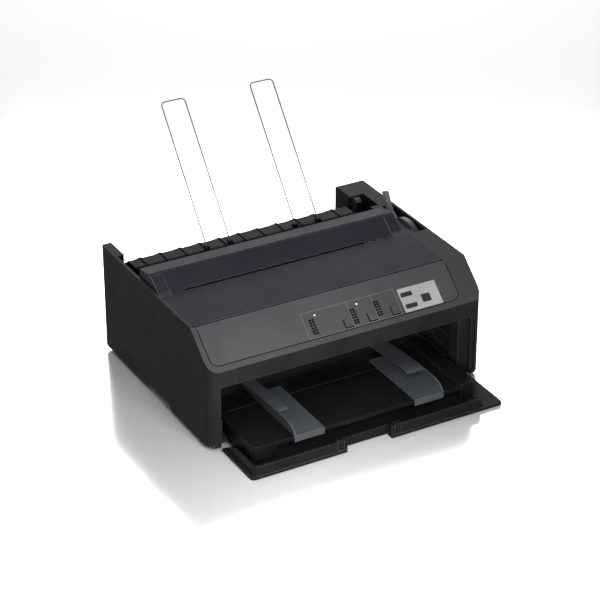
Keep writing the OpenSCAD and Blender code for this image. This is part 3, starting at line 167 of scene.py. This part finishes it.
# Case: black ABS from a spark-eroded mould, a satin black with a fine even grain
# its dust value lightens up-facing faces, partly dust and partly a painted sheen
caseAbs = {"dark": "#202021", "light": "#262627", "edge": "#636366", "cloudMm": 60, "rough": 0.45,
           "grainMm": 0.9, "grainDepthMm": 0.02, "edgeMm": 0.8, "specular": 0.015, "dustAndSheen": 0.08}
# Panel insert: ABS painted dark grey, smoother and paler than the case
panelPaint = {"dark": "#414243", "light": "#474849", "edge": "#606163", "cloudMm": 80, "rough": 0.42,
              "grainMm": 0.8, "grainDepthMm": 0.008, "edgeMm": 0.4, "specular": 0.2}
# Printer cover: smoke polycarbonate, so dark that little shows through, with a violet cast
smokePolycarbonate = {"dark": "#28262e", "light": "#2e2c35", "edge": "#8e8c97", "cloudMm": 70,
                      "rough": 0.42, "grainMm": 1.2, "grainDepthMm": 0.008, "edgeMm": 0.8,
                      "specular": 0.015}
# Sheet guide cover: the same smoke plastic, polished, so it takes more sheen
polishedSmoke = {"dark": "#2a2830", "light": "#302e37", "edge": "#8e8c97", "cloudMm": 70, "rough": 0.34,
                 "grainMm": 1.2, "grainDepthMm": 0.006, "edgeMm": 0.8, "specular": 0.022, "dustAndSheen": 0.02}
# Rear guide, front cover and tray: plain black ABS, a little shinier than the case
guideAbs = {"dark": "#101011", "light": "#151516", "edge": "#29292b", "cloudMm": 50, "rough": 0.42,
            "grainMm": 0.9, "grainDepthMm": 0.012, "edgeMm": 0.5, "specular": 0.02}
coverAbs = {"dark": "#18181a", "light": "#1e1e1f", "edge": "#646467", "cloudMm": 50, "rough": 0.4,
            "grainMm": 0.9, "grainDepthMm": 0.012, "edgeMm": 0.5, "specular": 0.02}
trayAbs = {"dark": "#0e0e10", "light": "#131315", "edge": "#4a4a4e", "cloudMm": 50, "rough": 0.42,
           "grainMm": 0.9, "grainDepthMm": 0.012, "edgeMm": 0.5, "specular": 0.05}
# Edge guides: ABS dyed grey, satin from the mould
edgeGuideAbs = {"dark": "#3c4043", "light": "#43474a", "edge": "#666a6d", "cloudMm": 40, "rough": 0.42,
                "grainMm": 0.8, "grainDepthMm": 0.01, "edgeMm": 0.5, "specular": 0.15}
# Panel buttons: the same ABS in the panel's grey, a little rougher where fingers wear it
buttonAbs = {"dark": "#444547", "light": "#4a4b4d", "edge": "#646569", "cloudMm": 20, "rough": 0.45,
             "grainMm": 0.6, "grainDepthMm": 0.006, "edgeMm": 0.5, "specular": 0.15}
# Label buttons: dark ABS, so that they stand out on the plate
darkButtonAbs = {"dark": "#2a2a2c", "light": "#303032", "edge": "#48484c", "cloudMm": 20, "rough": 0.45,
                 "grainMm": 0.6, "grainDepthMm": 0.006, "edgeMm": 0.4, "specular": 0.12}
# Release lever: light grey ABS, easy to find by eye
leverAbs = {"dark": "#6c6e71", "light": "#76787b", "edge": "#96989c", "cloudMm": 20, "rough": 0.45,
            "grainMm": 0.8, "grainDepthMm": 0.008, "edgeMm": 0.5, "specular": 0.15}
# Gears, pulleys and bushes: natural acetal, milky and slightly waxy
naturalAcetal = {"dark": "#c4c0b0", "light": "#cfcaba", "edge": "#dcd8ca", "cloudMm": 15, "rough": 0.36,
                 "grainMm": 1.0, "grainDepthMm": 0.004, "edgeMm": 0.15, "specular": 0.5}
# Mechanism pieces: glass-filled black nylon, matt
filledNylon = {"dark": "#17181a", "light": "#1e1f21", "edge": "#333437", "cloudMm": 30, "rough": 0.5,
               "grainMm": 0.7, "grainDepthMm": 0.02, "edgeMm": 0.3, "specular": 0.2}
# Print head: die-cast alloy painted black, pebbly between its fins
paintedCasting = {"dark": "#1e1e20", "light": "#272729", "edge": "#56575a", "cloudMm": 8, "rough": 0.55,
                  "grainMm": 0.8, "grainDepthMm": 0.05, "edgeMm": 0.3, "specular": 0.3}
# Platen, belt and feet: black rubber, ground or moulded, dull
blackRubber = {"dark": "#0e0e0f", "light": "#141415", "edge": "#1e1e1f", "cloudMm": 25, "rough": 0.7,
               "grainMm": 0.5, "grainDepthMm": 0.02, "edgeMm": 0.3, "specular": 0.2}
# Ribbon: woven nylon soaked in ink, nearly black
inkedNylon = {"dark": "#070708", "light": "#0c0c0f", "edge": "#101013", "cloudMm": 6, "rough": 0.6,
              "grainMm": 0.4, "grainDepthMm": 0.02, "edgeMm": 0.1, "specular": 0.2}
# Main board: glass laminate under green solder mask, a thin wet-looking coat
solderMask = {"dark": "#0f3a23", "light": "#13452b", "edge": "#4a6a3e", "cloudMm": 9, "rough": 0.35,
              "grainMm": 2.0, "grainDepthMm": 0.01, "edgeMm": 0.2, "specular": 0.5, "coat": 0.5}
# Status lamps that are off: tinted lens plastic, dark and glossy
lensPlastic = {"dark": "#151716", "light": "#1b1d1c", "edge": "#3a3d3b", "cloudMm": 3, "rough": 0.25,
               "grainMm": 0.8, "grainDepthMm": 0.003, "edgeMm": 0.15, "specular": 0.3}
# Label plate: brushed, clear anodised aluminium, its brushing too fine to see, so drawn coarser
labelAluminium = {"dark": "#a2a4a5", "light": "#abadae", "cloudMm": 40, "rough": 0.55, "along": (1, 30, 1),
                  "streakMm": 30, "streakDepthMm": 0.004, "edgeMm": 0.2}
# Side frames, rail and brackets: zinc-plated sheet, with its faint spangle
zincSheet = {"dark": "#8b8e91", "light": "#a0a3a5", "cloudMm": 6, "rough": 0.42, "along": (1, 1, 1),
             "streakMm": 4, "streakDepthMm": 0.01, "edgeMm": 0.2}
# Shafts and pins: ground steel bar, bright, with rings across it
groundSteel = {"dark": "#a4a6a8", "light": "#b0b2b4", "cloudMm": 20, "rough": 0.26, "along": (40, 1, 1),
               "streakMm": 8, "streakDepthMm": 0.003, "edgeMm": 0.2}
# Wire supports: nickel-plated spring wire, soft grey
nickelWire = {"dark": "#46484a", "light": "#525456", "cloudMm": 15, "rough": 0.34, "along": (1, 1, 1),
              "streakMm": 6, "streakDepthMm": 0.003, "edgeMm": 0.1}
# Motor cans: plated steel, dull
motorCan = {"dark": "#6d6f72", "light": "#797b7e", "cloudMm": 10, "rough": 0.4, "along": (1, 1, 1),
            "streakMm": 5, "streakDepthMm": 0.006, "edgeMm": 0.3}

finishes = [
    (moulded, "caseAbs", caseAbs, "upper_case lower_case rear_cover platen_knob"),
    (moulded, "panelPaint", panelPaint, "control_panel"),
    (moulded, "smokePolycarbonate", smokePolycarbonate, "printer_cover"),
    (moulded, "polishedSmoke", polishedSmoke, "sheet_guide_cover"),
    (moulded, "guideAbs", guideAbs, "rear_paper_guide"),
    (moulded, "coverAbs", coverAbs, "front_cover cover_catches"),
    (moulded, "trayAbs", trayAbs, "front_tray"),
    (moulded, "edgeGuideAbs", edgeGuideAbs, "left_edge_guide right_edge_guide"),
    (moulded, "buttonAbs", buttonAbs, "left_panel_button middle_panel_button right_panel_button"),
    (moulded, "darkButtonAbs", darkButtonAbs, "upper_label_button lower_label_button square_label_button"),
    (moulded, "leverAbs", leverAbs, "paper_release_lever"),
    (moulded, "naturalAcetal", naturalAcetal, "drive_pulley idler_pulley platen_bushes platen_gear "
                                              "idler_gear feed_pinion tractor_gear left_sprocket "
                                              "right_sprocket"),
    (moulded, "filledNylon", filledNylon, "thickness_lever carriage ribbon_cartridge left_tractor "
                                          "right_tractor left_tractor_cover right_tractor_cover "
                                          "rear_sockets power_switch"),
    (moulded, "paintedCasting", paintedCasting, "print_head"),
    (moulded, "blackRubber", blackRubber, "feet timing_belt platen"),
    (moulded, "inkedNylon", inkedNylon, "ink_ribbon"),
    (moulded, "solderMask", solderMask, "main_board"),
    (moulded, "lensPlastic", lensPlastic, "status_lights"),
    (worked, "labelAluminium", labelAluminium, "panel_label"),
    (worked, "zincSheet", zincSheet, "left_side_frame right_side_frame carriage_rail motor_brackets"),
    (worked, "groundSteel", groundSteel, "carriage_shaft platen_shaft idler_pin tractor_shaft tractor_rod "
                                         "cover_hinge_pins"),
    (worked, "nickelWire", nickelWire, "left_wire_support right_wire_support"),
    (worked, "motorCan", motorCan, "carriage_motor feed_motor"),
]
made, dressed = {}, set()
for make, name, values, members in finishes:
    made[name] = make(name, values)
    for member in members.split():
        dressed.add(member)
        for s in nodes[member].material_slots:
            s.material = made[name]

# Bezel: case faces that lean the way the panel slope does get the insert's paler tone, painted light for the
# light the slope catches from above, and its rounded rim gets a painted highlight.
# The From and To values say how alike a face's direction and the slope's are (as a cosine)
# where the rim's highlight and then the flat lit tone begin and are full
paintedSlopeLight = {"dark": "#434445", "light": "#494a4b", "rim": "#707173", "cloudMm": 80,
              "rimFrom": 0.81, "rimTo": 0.9, "flatFrom": 0.965, "flatTo": 0.993}
bezelTree = made["caseAbs"].node_tree
bezelShader = bezelTree.nodes["Principled BSDF"]
caseTone = bezelShader.inputs["Base Color"].links[0].from_node
bezelPlace = add(bezelTree, "TexCoord")
slopeFacing = (0, -math.sin(slopeA), math.cos(slopeA))
likeSlope = add(bezelTree, "VectorMath", {1: slopeFacing}, {0: (bezelPlace, "Normal")},
                operation="DOT_PRODUCT")
rimHighlightMask = add(bezelTree, "MapRange", {"From Min": paintedSlopeLight["rimFrom"], "From Max": paintedSlopeLight["rimTo"]},
            {"Value": (likeSlope, "Value")})
slopeLightMask = add(bezelTree, "MapRange", {"From Min": paintedSlopeLight["flatFrom"], "From Max": paintedSlopeLight["flatTo"]},
              {"Value": (likeSlope, "Value")})
bezelCloud = add(bezelTree, "TexNoise",
                 {"Scale": 1000 / paintedSlopeLight["cloudMm"], "Detail": cloudLook["detail"]},
                 {"Vector": (bezelPlace, "Object")})
slopeLitTone = add(bezelTree, "Mix", {6: linear(paintedSlopeLight["dark"]), 7: linear(paintedSlopeLight["light"])},
                {0: (bezelCloud, "Fac")}, data_type="RGBA")
# painted highlight on the rounded rim between the slope and the faces round it
rimHighlightMix = add(bezelTree, "Mix", {7: linear(paintedSlopeLight["rim"])},
               {0: (rimHighlightMask, "Result"), 6: (caseTone, 2)}, data_type="RGBA")
# painted light: faces turned like the slope take the paler lit tone
slopeLightMix = add(bezelTree, "Mix", links={0: (slopeLightMask, "Result"), 6: (rimHighlightMix, 2), 7: (slopeLitTone, 2)},
               data_type="RGBA")
bezelTree.links.new(slopeLightMix.outputs[2], bezelShader.inputs["Base Color"])

# Release lever: its disc is of dark case plastic and only the handle is grey, so the tone changes
# at this distance from the axle
leverTones = {"disc": "#3a3a3d", "startMm": 40, "endMm": 42, "axleY": 168, "axleZ": 128}
leverTree = made["leverAbs"].node_tree
leverShader = leverTree.nodes["Principled BSDF"]
handleTone = leverShader.inputs["Base Color"].links[0].from_node
leverPlace = add(leverTree, "TexCoord")
axle = at(0, leverTones["axleY"], leverTones["axleZ"])
fromAxle = add(leverTree, "VectorMath", {1: axle}, {0: (leverPlace, "Object")}, operation="SUBTRACT")
flat = add(leverTree, "VectorMath", {1: (0, 1, 1)}, {0: (fromAxle, "Vector")}, operation="MULTIPLY")
reach = add(leverTree, "VectorMath", links={0: (flat, "Vector")}, operation="LENGTH")
onHandle = add(leverTree, "MapRange",
               {"From Min": leverTones["startMm"] / 1000, "From Max": leverTones["endMm"] / 1000},
               {"Value": (reach, "Value")})
leverMix = add(leverTree, "Mix", {6: linear(leverTones["disc"])},
               {0: (onHandle, "Result"), 7: (handleTone, 2)}, data_type="RGBA")
leverTree.links.new(leverMix.outputs[2], leverShader.inputs["Base Color"])
print("materials done, nodes without one:", sorted(set(nodes) - dressed))


def piece(name, bm, material, body, smooth=True):
    mesh = bpy.data.meshes.new(name)
    bmesh.ops.recalc_face_normals(bm, faces=bm.faces)
    bm.to_mesh(mesh)
    bm.free()
    obj = bpy.data.objects.new(name, mesh)
    bpy.context.scene.collection.objects.link(obj)
    mesh.materials.append(material)
    for p in mesh.polygons:
        p.use_smooth = smooth
    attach(obj, body)


inkSink = -0.02  # every printed form starts this far under the panel's face, so that no gap shows


def inkForm(bm, outline, proud):
    # a flat printed form with this outline (x, s) on the panel, standing proud of its face
    bottom = [bm.verts.new(onPanel(x, s, inkSink)) for x, s in outline]
    top = [bm.verts.new(onPanel(x, s, proud)) for x, s in outline]
    bm.faces.new(top)
    bm.faces.new(bottom[::-1])
    for i in range(len(outline)):
        k = (i + 1) % len(outline)
        bm.faces.new([bottom[i], bottom[k], top[k], top[i]])


def inkField(bm, left, right, low, high, proud):
    inkForm(bm, [(left, low), (right, low), (right, high), (left, high)], proud)


# Panel lines: silk-screened ink in pale grey, matt on the paint, one thin frame with two dividers
screenInk = {"dark": "#7b7d7e", "light": "#858788", "edge": "#858788", "cloudMm": 4, "rough": 0.55,
             "grainMm": 0.6, "grainDepthMm": 0.004, "edgeMm": 0.05, "specular": 0.2}
panelPrint = {"left": -56.0, "right": 84.4, "low": 9.6, "high": 46.0, "line": 0.35,
              "dividers": (12.0, 48.6), "proud": 0.03}
paleInk = moulded("screenInk", screenInk)


def panelLines(v):
    bm = bmesh.new()
    for s in (v["low"], v["high"]):
        inkField(bm, v["left"], v["right"], s, s + v["line"], v["proud"])
    for x in (v["left"], *v["dividers"], v["right"] - v["line"]):
        inkField(bm, x, x + v["line"], v["low"], v["high"], v["proud"])
    piece("panel_lines", bm, paleInk, "case", smooth=False)


panelLines(panelPrint)

# Lamp windows: the same print in black, three ladders of two columns that darken each lamp
windowPrint = {"dark": "#0a0b0b", "light": "#101111", "edge": "#1a1b1b", "cloudMm": 4, "rough": 0.4,
               "grainMm": 0.6, "grainDepthMm": 0.003, "edgeMm": 0.05, "specular": 0.1}
lampWindows = {"ladders": ((-44.4, 15.6), (16.6, 14.8), (53.2, 16.6)),  # middle and lowest row of each
               "columns": 2, "rows": 6, "wide": 3.7, "tall": 2.7, "acrossStep": 4.4, "upStep": 3.8,
               "proud": 0.03}
blackInkAndShade = moulded("blackInkAndShade", windowPrint)


def ladderFields(v):
    bm = bmesh.new()
    w, h = v["wide"] / 2, v["tall"] / 2
    for middle, lowest in v["ladders"]:
        for c in range(v["columns"]):
            for r in range(v["rows"]):
                x = middle + (c - (v["columns"] - 1) / 2) * v["acrossStep"]
                s = lowest + r * v["upStep"]
                inkField(bm, x - w, x + w, s - h, s + h, v["proud"])
    piece("lamp_windows", bm, blackInkAndShade, "case", smooth=False)


ladderFields(lampWindows)

# Seams: a dark strip laid over the joint round the panel insert, painted shade for the shadow in the joint,
# and a painted shadow at the left and foot of each button
seamShadeBand = {"left": -199.5, "right": 175.0, "low": 8.0, "top": 62.0, "corner": 12.0, "outer": -0.2,
             "inner": 1.1, "proud": 0.02, "steps": 8}
buttonShadows = {"places": ((5, 17.8), (41, 17.8), (77, 17.8)), "half": 5.85, "wide": 1.2, "proud": 0.02}


def seamPath(v, inset):  # down the left side, round both lower corners, up the right side
    r = v["corner"] - inset
    left, right, low = v["left"] + inset, v["right"] - inset, v["low"] + inset
    turns = [math.radians(90 * i / v["steps"]) for i in range(v["steps"] + 1)]
    path = [(left, v["top"])]
    path += [(left + r - r * math.cos(t), low + r - r * math.sin(t)) for t in turns]
    path += [(right - r + r * math.sin(t), low + r - r * math.cos(t)) for t in turns]
    return path + [(right, v["top"])]


def seamShadePiece(v, buttonShade):
    bm = bmesh.new()
    stations = []
    for outer, inner in zip(seamPath(v, v["outer"]), seamPath(v, v["inner"])):
        ring = ((outer, inkSink), (outer, v["proud"]), (inner, v["proud"]), (inner, inkSink))
        stations.append([bm.verts.new(onPanel(x, s, h)) for (x, s), h in ring])
    for a, b in zip(stations, stations[1:]):
        for i in range(4):
            k = (i + 1) % 4
            bm.faces.new([a[i], a[k], b[k], b[i]])
    bm.faces.new(stations[0])
    bm.faces.new(stations[-1][::-1])
    g, w = buttonShade["half"], buttonShade["wide"]
    for x, s in buttonShade["places"]:
        angle = [(-g - w, -g - w), (g, -g - w), (g, -g), (-g, -g), (-g, g), (-g - w, g)]
        inkForm(bm, [(x + dx, s + ds) for dx, ds in angle], buttonShade["proud"])
    # the joint's shade and the buttons' shadows are painted with the black window ink
    piece("panel_seam_shade", bm, blackInkAndShade, "case", smooth=False)


seamShadePiece(seamShadeBand, buttonShadows)

# Lit lamps: two small domes of clear lens plastic, lit pale green from behind
litLamp = {"places": ((-37, 39.9), (26.2, 39.6)), "radius": 1.0, "height": 0.32, "rings": 5, "sides": 16,
           "dark": "#dff0d8", "light": "#f2fbee", "cloudsPerM": 900, "glow": "#e4f7dc", "strength": 1.5,
           "rough": 0.3}
litLens, litTree, litShader = newMaterial("litLens")
litPlace = add(litTree, "TexCoord")
litCloud = add(litTree, "TexNoise", {"Scale": litLamp["cloudsPerM"]}, {"Vector": (litPlace, "Object")})
litTone = add(litTree, "ValToRGB", links={"Fac": (litCloud, "Fac")})
litTone.color_ramp.elements[0].color = linear(litLamp["dark"])
litTone.color_ramp.elements[1].color = linear(litLamp["light"])
litTree.links.new(litTone.outputs["Color"], litShader.inputs["Base Color"])
litShader.inputs["Emission Color"].default_value = linear(litLamp["glow"])
litShader.inputs["Emission Strength"].default_value = litLamp["strength"]
litShader.inputs["Roughness"].default_value = litLamp["rough"]


def lampDome(name, x, s, v):
    bm = bmesh.new()
    turns = [math.radians(360 * i / v["sides"]) for i in range(v["sides"])]
    rings = []
    for k in range(v["rings"]):
        t = math.radians(90 * (k + 0.5) / v["rings"])
        r, h = v["radius"] * math.cos(t), v["height"] * math.sin(t)
        rings.append([bm.verts.new(onPanel(x + r * math.cos(a), s + r * math.sin(a), h)) for a in turns])
    for lower, upper in zip(rings, rings[1:]):
        for i in range(v["sides"]):
            k = (i + 1) % v["sides"]
            bm.faces.new([lower[i], lower[k], upper[k], upper[i]])
    bm.faces.new(rings[-1])
    piece(name, bm, litLens, "case")


for lampName, (x, s) in zip(("left_lit_lamp", "right_lit_lamp"), litLamp["places"]):
    lampDome(lampName, x, s, litLamp)
print("panel print, seams and lamps done")

# Floor: white acrylic sheet, polished, which gives a soft mirror image under the printer
floorSheet = {"half": 6.0, "dark": "#f4f4f4", "light": "#f7f7f7", "cloudMm": 500, "rough": 0.16,
              "mirror": 0.32}
half = floorSheet["half"]
floorMesh = bpy.data.meshes.new("floor")
floorMesh.from_pydata([(-half, -half, 0), (half, -half, 0), (half, half, 0), (-half, half, 0)],
                      [], [(0, 1, 2, 3)])
floor = bpy.data.objects.new("floor", floorMesh)
bpy.context.scene.collection.objects.link(floor)
floorMat, floorTree, floorShader = newMaterial("whiteAcrylic")
floorPlace = add(floorTree, "TexCoord")
floorCloud = add(floorTree, "TexNoise", {"Scale": 1000 / floorSheet["cloudMm"]},
                 {"Vector": (floorPlace, "Object")})
floorTone = add(floorTree, "ValToRGB", links={"Fac": (floorCloud, "Fac")})
floorTone.color_ramp.elements[0].color = linear(floorSheet["dark"])
floorTone.color_ramp.elements[1].color = linear(floorSheet["light"])
floorTree.links.new(floorTone.outputs["Color"], floorShader.inputs["Base Color"])
floorShader.inputs["Roughness"].default_value = floorSheet["rough"]
floorShader.inputs["Metallic"].default_value = floorSheet["mirror"]
floorMesh.materials.append(floorMat)

# Lamps: the small front softbox lights the panel and the front band, the top one fills, and the
# large rear one on the right gives the deck and the covers their sheen (metres and watts)
softboxes = [
    {"name": "frontSoftbox", "size": (0.2, 0.2), "power": 2.6,
     "at": (-0.19, -0.55, 0.27), "to": (-0.12, -0.14, 0.1)},
    {"name": "topSoftbox", "size": (1.6, 1.6), "power": 9, "at": (-0.5, -0.1, 2.2), "to": (0, 0, 0.1)},
    {"name": "rearSoftbox", "size": (1.5, 1.1), "power": 25, "at": (1.0, 1.75, 1.25), "to": (0, 0, 0.15)},
]
for v in softboxes:
    light = bpy.data.lights.new(v["name"], "AREA")
    light.shape = "RECTANGLE"
    light.size, light.size_y = v["size"]
    light.energy = v["power"]
    lampObj = bpy.data.objects.new(v["name"], light)
    lampObj.location = v["at"]
    lampObj.rotation_euler = (Vector(v["to"]) - Vector(v["at"])).to_track_quat("-Z", "Y").to_euler()
    bpy.context.scene.collection.objects.link(lampObj)

# World: white where the camera, a gloss or a clear plastic looks at it, a soft grey fill otherwise
worldLight = {"fill": 0.32, "white": 1.0}
world = bpy.data.worlds.new("studio")
bpy.context.scene.world = world
world.use_nodes = True
sky = world.node_tree
fillLight = sky.nodes["Background"]
fillLight.inputs["Color"].default_value = (1, 1, 1, 1)
fillLight.inputs["Strength"].default_value = worldLight["fill"]
whiteLight = add(sky, "Background", {"Color": (1, 1, 1, 1), "Strength": worldLight["white"]})
rays = add(sky, "LightPath")
seen = add(sky, "Math", links={0: (rays, "Is Camera Ray"), 1: (rays, "Is Glossy Ray")},
           operation="MAXIMUM")
seenToo = add(sky, "Math", links={0: (seen, "Value"), 1: (rays, "Is Transmission Ray")},
              operation="MAXIMUM")
pick = add(sky, "MixShader",
           links={0: (seenToo, "Value"), 1: (fillLight, "Background"), 2: (whiteLight, "Background")})
sky.links.new(pick.outputs["Shader"], sky.nodes["World Output"].inputs["Surface"])

# Camera: the place and lens that the photograph's view gives
view = {"at": (-1285.1, -2146.5, 1540.9), "tiltDeg": 61.3, "turnDeg": -29.4, "lensMm": 132.6,
        "sensorMm": 36}
camData = bpy.data.cameras.new("camera")
camData.lens = view["lensMm"]
camData.sensor_width = view["sensorMm"]
camera = bpy.data.objects.new("camera", camData)
camera.location = at(*view["at"])
camera.rotation_euler = (math.radians(view["tiltDeg"]), 0, math.radians(view["turnDeg"]))
bpy.context.scene.collection.objects.link(camera)
bpy.context.scene.camera = camera
bpy.context.scene.view_settings.view_transform = "Standard"
print("floor, lights and camera done")
